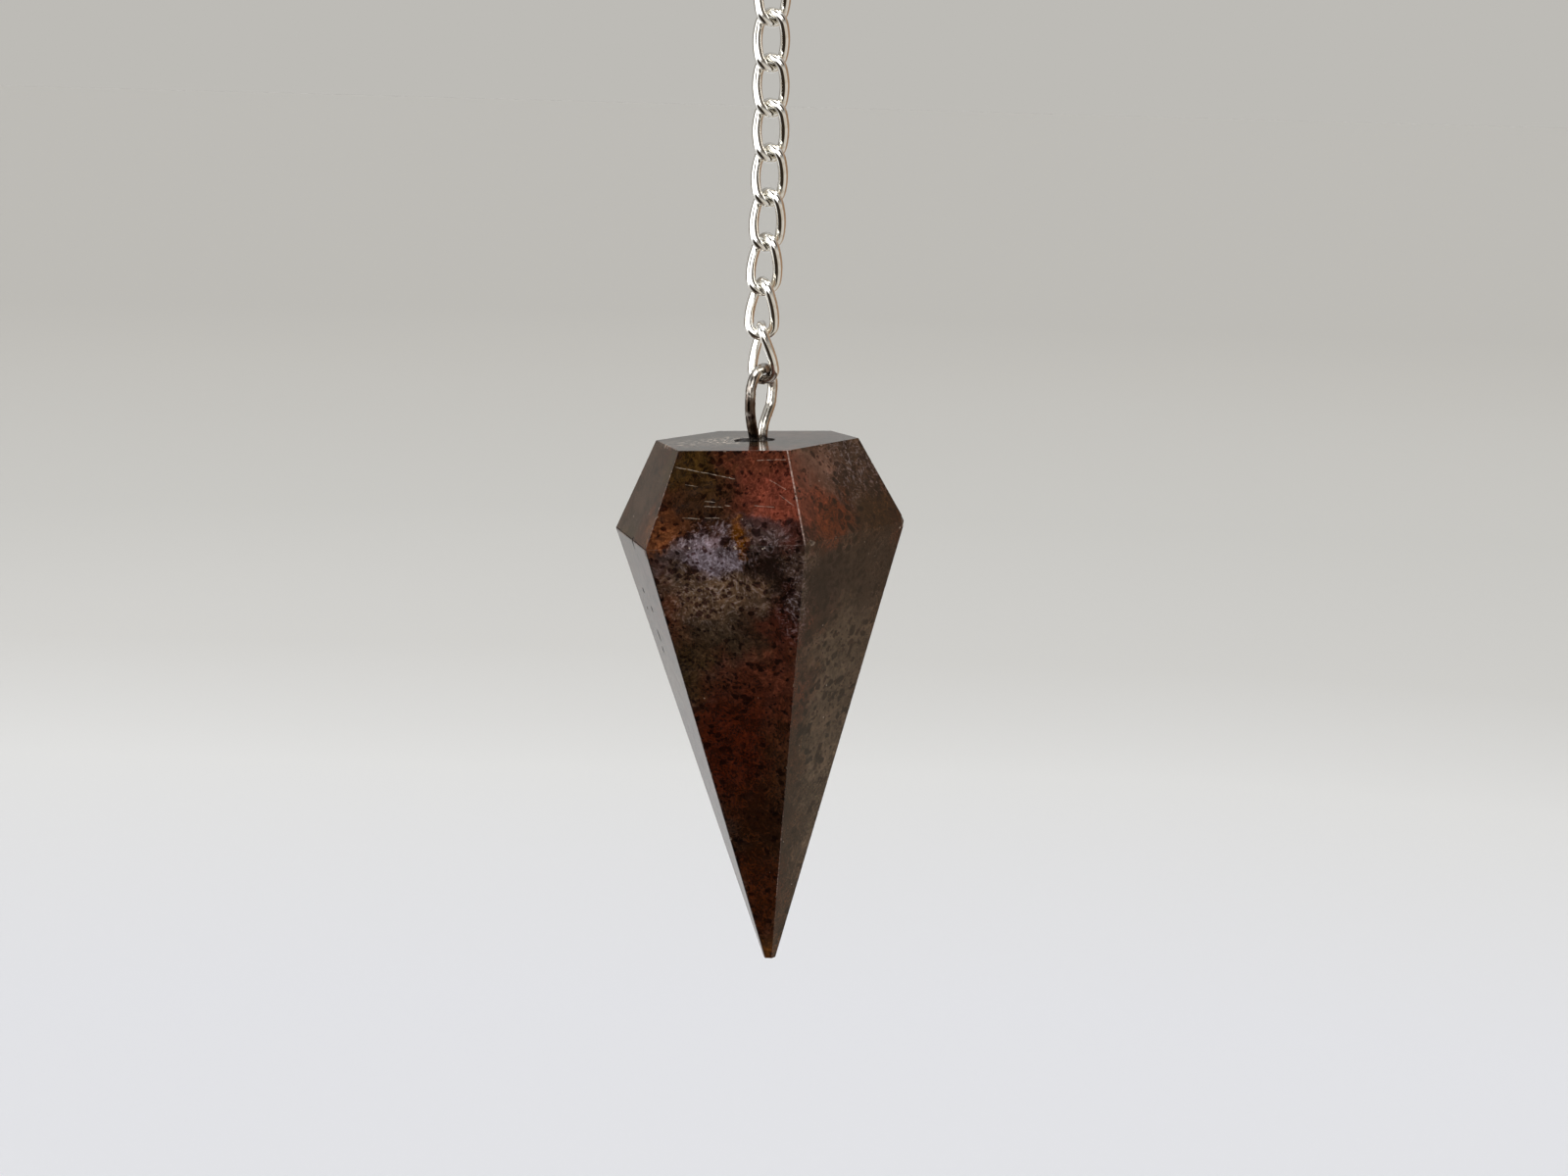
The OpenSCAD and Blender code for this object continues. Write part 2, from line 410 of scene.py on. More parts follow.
def make_eye(material):
    """The bent wire, with the shallow dents that pliers leave."""
    route = eye_route()
    radius = np.full((len(route), EYE_SIDES), EYE_WIRE / 2)
    spread = 0.4
    for i, p in enumerate(route):
        for j in range(EYE_SIDES):
            a = 2 * math.pi * j / EYE_SIDES
            q = Vector((p[0] + spread * math.cos(a), p[1] + spread * math.sin(a), p[2]))
            for depth, fine, least in EYE_DENTS:
                radius[i, j] -= depth * max(0.0, noise.noise(q * fine) - least)
    flat = np.array([-sin(EYE_TURN), cos(EYE_TURN), 0])
    points, faces = tube(route, flat, radius, EYE_SIDES, False)
    obj = new_object("eye_wire", points * MM, faces, material)
    obj.matrix_world = HUNG
    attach(obj, "pendulum")
    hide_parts("eye_pin")


# Stone
def stone_corners():
    """Corners of the table, girdle and tip, each row starting at the back right."""
    apex = np.array([0, 0, CROWN_H * TABLE_D / (GIRDLE_D - TABLE_D)])
    share = (TIP_D + TIP_OUT) / GIRDLE_D
    nadir = np.array([-TIP_OFF, 0, -STONE_LEN - (STONE_LEN - CROWN_H) * share / (1 - share)])
    girdle = []
    for (turn, radius, height), out in zip(CORNERS, CORNER_OUT):
        reach = (radius + out) * GIRDLE_D / 2
        girdle.append(np.array([reach * cos(turn), reach * sin(turn), -height * CROWN_H]))

    def on_ridge(end, corner, z):
        return end + (corner - end) * (z - end[2]) / (corner[2] - end[2])

    table = [on_ridge(apex, corner, 0) for corner in girdle]
    tip = [on_ridge(nadir, corner, -STONE_LEN) for corner in girdle]
    return table, girdle, tip


def small_chips():
    """Nicks along the edges, spaced so that none meet."""
    draw = random.Random(NICK_SEED)
    table, girdle, tip = stone_corners()
    out = []
    for i in range(SIDES):
        j = (i + 1) % SIDES
        edges = [(girdle[i], tip[i]), (girdle[i], girdle[j]), (table[i], girdle[i]), (table[i], table[j])]
        for (a, b), count in zip(edges, NICK_COUNTS):
            for n in range(count):
                share = (n + draw.uniform(*NICK_STEP)) / count * NICK_SPAN + NICK_START
                size = draw.uniform(*NICK_SIZE)
                place = a + (b - a) * share
                if all(np.linalg.norm(place - np.array(chip)) > NICK_ROOM for chip, _ in CHIPS):
                    out.append((tuple(place), tuple(size * draw.uniform(*NICK_UNEVEN) for _ in range(3))))
    return out


def blob(centre, size, seed):
    """A rough pebble, points and faces, for a chip."""
    rough = 0.35
    waves = 1.3
    shift = Vector((seed * 3.7, seed * 1.3, 0))
    bm = bmesh.new()
    bmesh.ops.create_icosphere(bm, subdivisions=2, radius=1)
    points = []
    for v in bm.verts:
        r = 1 + rough * noise.noise(v.co * waves + shift)
        points.append(Vector([c + s * x * r for c, s, x in zip(centre, size, v.co)]))
    faces = [[v.index for v in f.verts] for f in bm.faces]
    bm.free()
    return points, faces


def hole_radius(a, z, flare, rough):
    """The bore's radius at an angle and a height, with the flare and the raggedness of its mouth."""
    chip = noise.noise(Vector((2.6 * math.cos(a), 2.6 * math.sin(a), 1.7)))
    fine = noise.noise(Vector((7 * math.cos(a), 7 * math.sin(a), 5 + z)))
    return HOLE_D / 2 + flare * (0.7 + 0.5 * chip) + rough * (0.16 * max(0, chip) + 0.07 * fine + 0.03)


def make_cutter():
    """The bore with its ragged mouth, and all the chips, as one mesh."""
    verts = []
    for z, flare, rough in HOLE_RINGS:
        for j in range(HOLE_SIDES):
            a = 2 * math.pi * j / HOLE_SIDES
            r = hole_radius(a, z, flare, rough)
            verts.append(Vector((r * math.cos(a), r * math.sin(a), z)))
    faces = [list(range(HOLE_SIDES))]
    for i in range(len(HOLE_RINGS) - 1):
        faces += band(i * HOLE_SIDES, (i + 1) * HOLE_SIDES, HOLE_SIDES)
    faces.append([len(verts) - 1 - j for j in range(HOLE_SIDES)])
    for n, (centre, size) in enumerate(CHIPS + small_chips()):
        points, triangles = blob(centre, size, n + 1)
        faces += [[i + len(verts) for i in t] for t in triangles]
        verts += points
    return new_object("stone_cutter", [v * MM for v in verts], faces)


def edge_share(edge, labels):
    """The edge's share of the widest rounding, by its corners' rows and numbers."""
    (row_a, a), (row_b, b) = sorted(labels[v.index] for v in edge.verts)
    if row_a != row_b:
        return EDGE_SHARE["crown" if row_a == 0 else "pavilion"][a]
    first = a if (a + 1) % SIDES == b else b
    return EDGE_SHARE[("table", "girdle", "pavilion")[row_a]][first]


def stone_hull(rows):
    """The sharp stone, whose edges carry their share of the widest rounding."""
    bm = bmesh.new()
    labels = {}
    for row, points in enumerate(rows):
        for i, p in enumerate(points):
            labels[len(labels)] = (row, i)
            bm.verts.new(Vector(p) * MM)
    bm.verts.index_update()
    bmesh.ops.convex_hull(bm, input=bm.verts)
    bmesh.ops.dissolve_limit(bm, angle_limit=math.radians(0.5), verts=bm.verts, edges=bm.edges)
    bmesh.ops.recalc_face_normals(bm, faces=bm.faces)
    bm.verts.index_update()
    weight = bm.edges.layers.float.new("bevel_weight_edge")
    for e in bm.edges:
        e[weight] = edge_share(e, labels)
    mesh = bpy.data.meshes.new("stone_body")
    bm.to_mesh(mesh)
    bm.free()
    return mesh


def paint_edge_shade(bm, rows):
    """Gives the listed roundings the material of painted shade, apart from their pale sides."""
    table, girdle, tip = [[Vector(p) * MM for p in row] for row in rows]

    def facing(row, i):
        j = (i + 1) % SIDES
        a, b, c = (table[i], girdle[i], girdle[j]) if row == "crown" else (girdle[i], tip[i], tip[j])
        return (b - a).cross(c - a).normalized()

    for (row, i), pale in PAINTED_SHADE_EDGES.items():
        ends = {"girdle": (girdle[i], girdle[(i + 1) % SIDES]), "pavilion": (girdle[i], tip[i]),
                "crown": (table[i], girdle[i])}
        a, b = ends[row]
        line = (b - a).normalized()
        facets = [("crown", i), ("pavilion", i)] if row == "girdle" else [(row, i), (row, (i - 1) % SIDES)]
        normals = {facet: facing(*facet) for facet in facets}
        for f in bm.faces:
            if f.material_index != WORN:
                continue
            off = f.calc_center_median() - a
            along = off.dot(line)
            if not 0 < along < (b - a).length or (off - line * along).length > EDGE_ROUND * MM:
                continue
            if pale is None or max(normals, key=lambda facet: normals[facet].dot(f.normal)) != pale:
                f.material_index = EDGE_PAINTED_SHADE


def make_stone(materials):
    """The stone with rounded edges, bored and chipped."""
    rows = stone_corners()
    obj = bpy.data.objects.new("stone_body", stone_hull(rows))
    bpy.context.scene.collection.objects.link(obj)
    bevel = obj.modifiers.new("bevel", "BEVEL")
    bevel.limit_method = "WEIGHT"
    bevel.width = EDGE_ROUND * MM
    bevel.segments = 2
    bevel.profile = 0.6
    bevel.material = WORN
    cutter = make_cutter()
    for material in materials:
        obj.data.materials.append(material)
        cutter.data.materials.append(material)
    cutter.data.polygons.foreach_set("material_index", [BROKEN] * len(cutter.data.polygons))
    apply_boolean(obj, cutter)
    bm = bmesh.new()
    bm.from_mesh(obj.data)
    # painted shade on some of the rounded edges
    paint_edge_shade(bm, rows)
    for f in bm.faces:
        f.smooth = f.material_index == BROKEN
    for e in bm.edges:
        e.smooth = all(f.material_index == BROKEN for f in e.link_faces)
    bm.to_mesh(obj.data)
    bm.free()
    obj.matrix_world = HUNG
    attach(obj, "pendulum")
    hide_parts("stone")


# Resin
def resin_height(p, room, legs):
    """Height of the resin's surface, which climbs the legs and the bore's wall, the room away."""
    climb = WALL_CLIMB * math.exp(-room / WALL_REACH)
    for leg in legs:
        gap = max(0, np.linalg.norm(p - leg) - EYE_WIRE / 2)
        climb = max(climb, LEG_CLIMB * math.exp(-gap / LEG_REACH))
    rough = 0.05 * noise.noise(Vector((p[0] * 2.3, p[1] * 2.3, 4)))
    return -RESIN_SINK - RESIN_DIP + climb + rough


def leg_cutter(legs):
    """Two rods, a little thicker than the legs."""
    n = LEG_CUT_SIDES
    verts = []
    faces = []
    for leg in legs:
        first = len(verts)
        for z in (-EYE_LEG - FILL_GAP, 1.0):
            verts += circle(EYE_WIRE / 2 + LEG_ROOM, n, z, leg)
        faces += [[first + j, first + (j + 1) % n, first + n + (j + 1) % n, first + n + j] for j in range(n)]
        faces += [[first + j for j in reversed(range(n))], [first + n + j for j in range(n)]]
    return new_object("leg_cutter", [Vector(v) * MM for v in verts], faces)


def make_resin(material):
    """The dark fill: its surface, and a plain plug below it with room for the legs."""
    wall = HOLE_D / 2 - WALL_ROOM
    legs = []
    for side in (-1, 1):
        reach = side * LEG_SPREAD / 2
        legs.append(np.array([EYE_FOOT_X + reach * cos(EYE_TURN), reach * sin(EYE_TURN)]))
    verts = [Vector((0, 0, -RESIN_SINK))]
    for n in range(1, RESIN_RINGS + 1):
        r = wall * (n / RESIN_RINGS) ** 0.8
        for j in range(RESIN_SIDES):
            a = 2 * math.pi * j / RESIN_SIDES
            p = np.array([r * math.cos(a), r * math.sin(a)])
            verts.append(Vector((p[0], p[1], resin_height(p, wall - r, legs))))
    verts += [Vector(p) for p in circle(wall, RESIN_SIDES, FILL_GAP - HOLE_DEPTH)]
    faces = [[0, 1 + j, 1 + (j + 1) % RESIN_SIDES] for j in range(RESIN_SIDES)]
    for i in range(RESIN_RINGS):
        faces += band(1 + i * RESIN_SIDES, 1 + (i + 1) * RESIN_SIDES, RESIN_SIDES)
    faces.append([len(verts) - 1 - j for j in range(RESIN_SIDES)])
    obj = new_object("resin_fill", [v * MM for v in verts], faces)
    apply_boolean(obj, leg_cutter(legs))
    obj.matrix_world = HUNG
    obj.data.materials.clear()
    obj.data.materials.append(material)
    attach(obj, "pendulum")
    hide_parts("resin_plug")


# Shader nodes
MIX_FACTOR, MIX_A, MIX_B, MIX_RESULT = 0, 6, 7, 2


def srgb(r, g, b):
    """A screen colour, from 0 to 255, as Blender's linear one."""
    shares = [c / 255 for c in (r, g, b)]
    return tuple(s / 12.92 if s <= 10 / 255 else ((s + 0.055) / 1.055) ** 2.4 for s in shares) + (1.0,)


class Net:
    """Adds nodes to a tree, each with its inputs, and returns the output asked for."""

    def __init__(self, tree):
        self.tree = tree

    def add(self, kind, inputs=(), out=0, **settings):
        node = self.tree.nodes.new(kind)
        for name, value in settings.items():
            setattr(node, name, value)
        pairs = inputs.items() if isinstance(inputs, dict) else enumerate(inputs)
        self.feed(node, {key: value for key, value in pairs if value is not None})
        return node.outputs[out]

    def feed(self, node, inputs):
        for key, value in inputs.items():
            if isinstance(value, bpy.types.NodeSocket):
                self.tree.links.new(value, node.inputs[key])
            else:
                node.inputs[key].default_value = value

    def math(self, operation, a, b=None, clamp=False):
        return self.add("ShaderNodeMath", (a, b), operation=operation, use_clamp=clamp)

    def times(self, a, b):
        return self.math("MULTIPLY", a, b)

    def minus(self, a, b):
        return self.math("SUBTRACT", a, b)

    def most(self, values):
        return functools.reduce(lambda a, b: self.math("MAXIMUM", a, b), values)

    def vec(self, operation, a, b=None, out=0):
        return self.add("ShaderNodeVectorMath", (a, b), out, operation=operation)

    def length(self, vector):
        return self.vec("LENGTH", vector, out="Value")

    def dot(self, a, b):
        return self.vec("DOT_PRODUCT", a, b, out="Value")

    def scale(self, vector, share):
        return self.add("ShaderNodeVectorMath", {0: vector, "Scale": share}, operation="SCALE")

    def mix(self, factor, a, b, blend="MIX"):
        inputs = {MIX_FACTOR: factor, MIX_A: a, MIX_B: b}
        return self.add("ShaderNodeMix", inputs, MIX_RESULT, data_type="RGBA", blend_type=blend)

    def tint(self, colour, by, factor=1.0):
        """The colour multiplied by another."""
        return self.mix(factor, colour, by, "MULTIPLY")

    def span(self, value, low, high, to_low=0.0, to_high=1.0, smooth=True):
        curve = "SMOOTHSTEP" if smooth else "LINEAR"
        inputs = (value, low, high, to_low, to_high)
        return self.add("ShaderNodeMapRange", inputs, clamp=True, interpolation_type=curve)

    def place(self):
        """The place in mm in the object's own frame."""
        return self.scale(self.add("ShaderNodeTexCoord", out="Object"), 1 / MM)

    def noise(self, vector, scale, detail=2.0, rough=0.5, out=0):
        inputs = {"Vector": vector, "Scale": scale, "Detail": detail, "Roughness": rough}
        return self.add("ShaderNodeTexNoise", inputs, out)

    def wander(self, vector, scale, detail, reach):
        """A vector that wanders by up to about half the reach each way."""
        jitter = self.vec("SUBTRACT", self.noise(vector, scale, detail, out="Color"), (0.5, 0.5, 0.5))
        return self.scale(jitter, reach)

    def cells(self, vector, scale):
        """Distance from the middle of the nearest random cell, its random colour, and its middle."""
        node = self.tree.nodes.new("ShaderNodeTexVoronoi")
        self.feed(node, {"Vector": vector, "Scale": scale})
        return node.outputs["Distance"], node.outputs["Color"], node.outputs["Position"]

    def chance(self, colour, channel):
        """One of a random colour's three numbers from 0 to 1."""
        return self.add("ShaderNodeSeparateColor", (colour,), channel)

    def squeeze(self, vector, middle, colour, share):
        """The vector squeezed along the cell colour's direction, which draws out what it places."""
        way = self.vec("NORMALIZE", self.vec("SUBTRACT", colour, (0.5, 0.5, 0.5)))
        along = self.times(self.dot(self.vec("SUBTRACT", vector, middle), way), share)
        return self.vec("SUBTRACT", vector, self.scale(way, along))

    def fibres(self, place, scale, fine, shift):
        """Short fibres in tufts, each tuft with its own direction: from 0 to 1."""
        moved_place = self.vec("ADD", place, shift)
        _, colour, middle = self.cells(moved_place, scale)
        return self.noise(self.squeeze(moved_place, middle, colour, 0.86), fine)

    def specks(self, place, scale, least, most, share, cloud, soft):
        """Oblong specks in a share of random cells, smaller where the cloud is below 1."""
        _, colour, middle = self.cells(place, scale)
        chance = self.chance(colour, "Red")
        reach = self.length(self.vec("SUBTRACT", self.squeeze(place, middle, colour, 0.5), middle))
        size = self.times(self.span(chance, 1 - share, 1.0, least / scale, most / scale, False), cloud)
        size = self.times(size, self.math("GREATER_THAN", chance, 1 - share))
        return self.span(self.minus(size, reach), -0.02, soft)

    def dust(self, place, scale, least, most, share, soft):
        """Round grains in a share of random cells."""
        reach, colour, _ = self.cells(place, scale)
        size = self.span(self.chance(colour, "Green"), 1 - share, 1.0, least, most, False)
        return self.span(self.minus(size, reach), -soft, 2 * soft)

    def flatten(self, place, point, normal):
        """The place's foot on the plane through the point, and 1 where the place is close to the plane."""
        near_plane = 0.3
        off = self.dot(self.vec("SUBTRACT", place, tuple(point)), tuple(normal))
        close = self.math("LESS_THAN", self.math("ABSOLUTE", off), near_plane)
        return self.vec("SUBTRACT", place, self.scale(tuple(normal), off)), close

    def streak(self, place, a, b, width):
        """1 on the straight line from a to b, 0 beside it."""
        line = Vector(b) - Vector(a)
        off = self.vec("SUBTRACT", place, a)
        along = self.math("MULTIPLY", self.dot(off, tuple(line / line.length_squared)), 1.0, True)
        foot = self.scale(tuple(line), along)
        return self.span(self.length(self.vec("SUBTRACT", off, foot)), width, width * 0.4)

    def patch(self, place, centre, size, soft=0.35):
        """1 inside an ellipsoid, 0 outside."""
        off = self.vec("MULTIPLY", self.vec("SUBTRACT", place, centre), tuple(1 / s for s in size))
        return self.span(self.length(off), 1 + soft, 1 - soft)

    def ramp(self, value, stops):
        node = self.tree.nodes.new("ShaderNodeValToRGB")
        self.tree.links.new(value, node.inputs[0])
        ramp = node.color_ramp
        while len(ramp.elements) < len(stops):
            ramp.elements.new(0.5)
        for element, (at, colour) in zip(ramp.elements, stops):
            element.position = at
            element.color = colour
        return node.outputs[0]

    def bump(self, strength, distance, height):
        """The normal of a surface whose height, from 0 to 1, is so many mm."""
        return self.add("ShaderNodeBump", {"Strength": strength, "Distance": distance * MM, "Height": height})


def new_material(name):
    material = bpy.data.materials.new(name)
    material.use_nodes = True
    tree = material.node_tree
    tree.nodes.clear()
    out = tree.nodes.new("ShaderNodeOutputMaterial")
    shader = tree.nodes.new("ShaderNodeBsdfPrincipled")
    tree.links.new(shader.outputs[0], out.inputs[0])
    return material, Net(tree), shader


# Stone colours
# body colour where no named patch lies: place along a slow noise, colour
BODY = [
    (0.30, (44, 20, 8)),
    (0.40, (70, 34, 20)),
    (0.48, (56, 34, 20)),
    (0.55, (70, 54, 44)),
    (0.62, (58, 44, 26)),
    (0.72, (78, 58, 40)),
]
# how the clouds and the tufts of fibres darken and lighten the colour: place along the noise, factors
CLOUDS = [(0.36, (0.55, 0.50, 0.48, 1)), (0.5, (0.95, 0.95, 0.95, 1)), (0.64, (1.5, 1.45, 1.45, 1))]
TUFTS = [(0.44, (0.66, 0.62, 0.60, 1)), (0.56, (0.95, 0.95, 0.95, 1)), (0.70, (1.65, 1.68, 1.75, 1))]
# patches of the stone: place, size, colour, strength
PATCHES = [
    # on the sides that the photograph does not show
    ((2.1, 7.9, -3), (3.8, 3.4, 2.6), (104, 54, 40), 1.0),
    ((4.6, 8.0, -9), (3.2, 3.2, 2.0), (100, 88, 94), 1.0),
    ((-1.2, 9.5, -8), (3.0, 3.0, 2.8), (62, 44, 18), 1.0),
    ((2.0, 7.4, -14), (3.6, 3.2, 2.6), (96, 74, 50), 1.0),
    ((4.2, 4.7, -18.5), (3.0, 3.0, 4.0), (76, 36, 22), 1.0),
    ((-0.2, 5.7, -20.5), (3.0, 3.0, 4.6), (62, 24, 8), 1.0),
    ((1.2, 3.2, -28), (3.0, 3.0, 4.6), (46, 26, 10), 0.9),
    ((7.6, 4.1, -4), (3.0, 3.2, 2.8), (66, 46, 32), 0.9),
    ((8.7, 2.2, -10), (2.6, 3.0, 3.0), (62, 50, 36), 1.0),
    ((6.4, 2.3, -17), (3.0, 3.0, 4.2), (74, 60, 44), 1.0),
    ((-5.8, 5.8, -3), (3.2, 3.2, 2.6), (66, 48, 24), 1.0),
    ((-7.3, 5.9, -8.5), (2.8, 2.8, 2.2), (94, 50, 22), 1.0),
    ((-5.0, 6.4, -12.5), (2.6, 2.6, 1.8), (92, 80, 86), 0.9),
    ((-5.9, 3.4, -17), (3.0, 3.0, 3.6), (60, 38, 24), 1.0),
    ((-3.1, 3.1, -25), (3.0, 3.0, 5.0), (60, 24, 8), 0.9),
    ((-8.8, -0.3, -10.5), (2.6, 3.2, 3.0), (72, 50, 36), 1.0),
    ((-6.8, -1.2, -16.5), (2.6, 2.8, 2.8), (88, 70, 52), 0.9),
    ((-4.5, -1.2, -24), (2.6, 2.6, 5.0), (58, 26, 12), 0.9),
    ((-8.2, -0.9, -3), (2.8, 3.4, 2.8), (62, 44, 34), 1.0),
    ((3.4, 2.6, 0.0), (3.4, 3.0, 1.2), (86, 62, 50), 0.9),
    ((-3.4, 1.6, 0.0), (3.0, 3.2, 1.2), (62, 46, 30), 0.9),
    # on the front
    ((4.2, -1.8, -25), (3.8, 3.8, 10), (86, 70, 54), 1.0),
    ((5.5, -3.6, -15.0), (3.8, 3.4, 4.8), (82, 67, 52), 1.0),
    ((7.8, -3.6, -8.8), (2.8, 3.4, 3.2), (50, 36, 27), 1.0),
    ((4.9, -7.6, -9.0), (1.9, 2.2, 2.6), (46, 33, 28), 0.9),
    ((8.7, -3.0, -5.0), (2.0, 2.6, 1.6), (54, 33, 14), 0.9),
    ((7.0, -2.9, -1.8), (2.7, 2.8, 2.1), (68, 47, 36), 0.9),
    ((3.9, -6.2, -1.2), (2.3, 2.6, 1.7), (118, 84, 69), 0.9),
    ((4.5, -7.7, -4.4), (2.6, 2.8, 2.0), (92, 40, 18), 1.0),
    ((0.3, -6.9, -16.8), (2.9, 3.0, 4.8), (76, 37, 22), 1.0),
    ((0.9, -9.2, -9.0), (1.9, 3.0, 3.6), (36, 21, 15), 1.0),
    ((2.9, -9.6, -8.9), (0.8, 1.8, 2.6), (90, 70, 60), 0.9),
    ((1.6, -8.7, -11.9), (1.2, 2.2, 2.0), (68, 30, 18), 0.9),
    ((-6.0, -6.8, -11.6), (1.4, 2.4, 2.2), (80, 38, 18), 1.0),
    ((-2.9, -7.3, -12.6), (3.0, 2.8, 2.0), (60, 46, 32), 1.0),
    ((-2.9, -8.0, -9.8), (3.4, 2.8, 1.8), (110, 86, 64), 1.0),
    ((-4.9, -6.0, -15.6), (1.5, 2.2, 2.0), (62, 48, 28), 0.8),
    ((-2.2, -5.2, -21.6), (3.2, 3.0, 5.4), (64, 22, 6), 1.0),
    ((1.3, -4.9, -22.6), (1.3, 2.2, 4.2), (58, 32, 14), 0.8),
    ((0.0, -3.1, -28.0), (2.6, 3.0, 4.6), (42, 18, 3), 0.9),
    ((-0.7, -1.6, -33.2), (2.2, 2.2, 3.6), (60, 23, 3), 0.9),
    ((-0.2, -0.5, -37.6), (1.4, 1.4, 1.4), (84, 50, 18), 0.9),
    ((-3.2, -7.4, -3.6), (3.4, 2.8, 2.2), (52, 32, 18), 1.0),
    ((-4.3, -6.2, -1.2), (2.6, 2.8, 1.5), (60, 41, 15), 1.0),
    ((1.6, -8.3, -2.8), (2.7, 3.2, 2.7), (114, 56, 41), 1.0),
    ((0.1, -6.6, -0.5), (2.4, 2.4, 0.9), (92, 47, 31), 0.9),
    ((2.4, -9.9, -5.5), (1.9, 2.2, 1.2), (66, 34, 27), 1.0),
    ((-6.5, -7.8, -5.7), (1.5, 2.2, 1.2), (100, 58, 32), 1.0),
    ((-5.6, -8.2, -7.5), (1.6, 2.2, 0.9), (84, 68, 64), 0.9),
    ((-2.9, -9.1, -7.15), (2.2, 2.4, 1.1), (134, 120, 127), 1.0),
    ((0.4, -9.4, -4.9), (1.5, 1.8, 0.6), (84, 57, 54), 0.9),
    ((0.4, -9.8, -5.8), (1.2, 1.8, 0.7), (82, 66, 62), 0.9),
    ((-0.5, -9.5, -7.6), (0.9, 2.0, 1.1), (46, 27, 16), 0.9),
    ((-1.0, -9.5, -6.2), (0.45, 1.8, 1.2), (100, 56, 0), 1.0),
]
# where pale fibres stand out: place, size, strength
FIBRES = [
    ((-3.0, -9.0, -7.0), (2.4, 2.8, 1.5), 0.60),
    ((-3.0, -8.0, -9.8), (3.4, 2.8, 1.9), 0.30),
    ((0.7, -9.6, -6.0), (1.1, 2.0, 0.9), 0.25),
    ((2.7, -9.4, -9.4), (1.0, 2.0, 3.4), 0.34),
    ((6.9, -2.9, -1.9), (2.4, 2.6, 1.8), 0.36),
]
# where the fibres are faint: place, size, share taken away
CALM = [
    ((5.4, -4.6, -15.0), (3.4, 4.2, 13.0), 0.75),
    ((3.6, -6.4, -1.4), (1.6, 2.4, 1.6), 0.7),
]
# dark specks: cells to the millimetre, least and greatest radius in cells, share of the cells that have one
SPECKS = [(3.4, 0.14, 0.44, 0.5), (1.7, 0.14, 0.42, 0.6), (0.9, 0.08, 0.25, 0.5)]
# where the specks are many: place, size, how much larger they are
SPECKLED = [
    ((-3.9, -8.2, -9.0), (4.6, 3.0, 3.2), 1.2),
    ((7.2, -2.9, -2.2), (2.2, 2.6, 2.0), 1),
    ((-2.8, -6.9, -1.7), (2.8, 2.2, 2.0), 1),
    ((4.6, -7.0, -9.5), (3.0, 3.6, 5.0), 1),
]
# larger soft specks of the right facets, as the specks above, and their place and size
SOFT_SPECKS = (1.2, 0.26, 0.50, 0.6)
SOFTLY_SPECKLED = ((5.2, -4.8, -15.0), (3.6, 4.2, 14.0))
# soft dark spots on the right facets: place, size
SPOTS = [
    ((4.2, -7.9, -9.6), (0.9, 0.9, 1.3)),
    ((3.6, -8.6, -7.9), (0.6, 0.8, 0.8)),
    ((6.3, -4.4, -9.9), (0.5, 0.7, 0.5)),
    ((6.7, -3.7, -11.4), (0.4, 0.6, 0.5)),
    ((5.0, -5.8, -11.8), (0.3, 0.5, 0.5)),
    ((4.0, -6.9, -12.6), (0.3, 0.5, 0.4)),
    ((5.4, -3.9, -15.2), (0.3, 0.5, 0.5)),
    ((4.0, -5.6, -15.6), (0.25, 0.4, 0.6)),
    ((3.1, -6.4, -15.9), (0.2, 0.4, 0.6)),
    ((4.6, -3.4, -19.0), (0.3, 0.5, 0.4)),
    ((3.0, -4.6, -20.6), (0.25, 0.4, 0.6)),
    ((4.1, -2.6, -22.6), (0.25, 0.5, 0.6)),
    ((2.7, -3.6, -24.6), (0.25, 0.4, 0.5)),
    ((8.2, -2.4, -3.4), (0.4, 0.8, 1.4)),
    ((5.6, -5.3, -2.6), (0.3, 0.6, 0.3)),
]
# pale grains, everywhere and along the front girdle: cells to the millimetre, least and greatest radius in
# cells, share of the cells that have one, softness
DUST = (1.25, 0.0, 0.09, 0.3, 0.01)
GIRDLE_DUST = (2.2, 0.05, 0.22, 0.65, 0.02)
GIRDLE_DUSTED = ((-2.0, -9.4, -6.4), (5.6, 1.6, 0.22))
# scratches on the front crown facet: ends, half width, strength
SCRATCHES = [
    ((-5.47, -5.89, -1.12), (-1.39, -7.40, -1.90), 0.034, 0.55),
    ((0.21, -7.25, -0.67), (2.18, -7.76, -0.61), 0.034, 0.45),
    ((-5.07, -7.63, -4.48), (-3.92, -7.98, -4.54), 0.034, 0.45),
    ((-3.51, -8.06, -4.48), (-2.55, -8.33, -4.47), 0.034, 0.4),
    ((-3.48, -7.54, -3.38), (-2.80, -7.76, -3.45), 0.032, 0.55),
    ((-3.55, -7.68, -3.71), (-2.26, -8.06, -3.77), 0.034, 0.45),
    ((-2.12, -8.04, -3.64), (-1.72, -8.18, -3.70), 0.032, 0.5),
    ((-4.81, -6.64, -2.29), (-4.00, -6.93, -2.42), 0.032, 0.4),
    ((1.69, -8.78, -2.99), (2.61, -9.34, -3.63), 0.032, 0.35),
    ((-0.09, -8.60, -3.63), (1.26, -9.03, -3.76), 0.032, 0.35),
    ((1.05, -8.10, -1.96), (2.11, -8.71, -2.60), 0.032, 0.35),
]
# scuffs on the table, the same way
SCUFFS = [
    ((-3.58, -2.86, 0.0), (-1.75, -0.18, 0.0), 0.07, 0.6),
    ((-3.36, 0.32, 0.0), (-1.51, -2.20, 0.0), 0.07, 0.6),
    ((-2.74, -3.76, 0.0), (-1.98, 1.88, 0.0), 0.07, 0.25),
]
